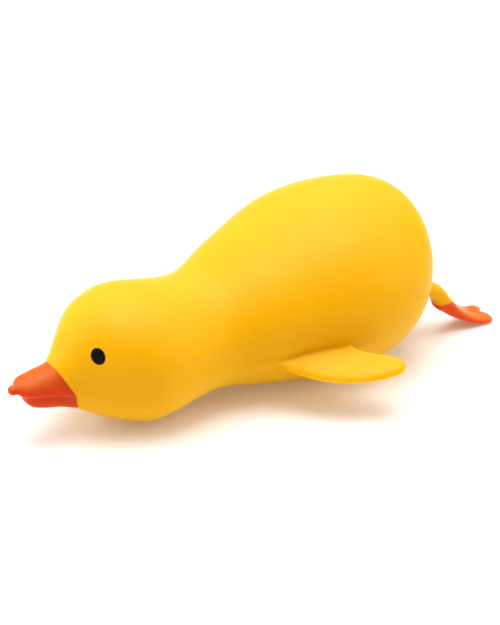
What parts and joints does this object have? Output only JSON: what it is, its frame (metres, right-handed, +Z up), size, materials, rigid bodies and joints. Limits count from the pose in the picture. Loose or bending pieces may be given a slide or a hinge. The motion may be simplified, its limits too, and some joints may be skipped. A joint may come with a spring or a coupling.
{
  "type": "squishy duck",
  "caption": "Soft moulded squeeze toy duck lying on its belly and chin, with a pear-shaped body, round head, short bill with a front bead, flat fin wings and webbed feet stretched out behind.",
  "frame": {"origin": "on the table plane, under the middle of the duck's overall box", "axes": "+Z up from the table, -Y towards the bill, +X towards the duck's left wing"},
  "size_m": [0.0818, 0.1398, 0.0454],
  "materials": {
    "yellow_rubber": "soft satin, with orange paint on the bill and feet and black paint on the eyes"
  },
  "bodies": {
    "root": {"duck": "yellow_rubber"}
  },
  "joints": []
}
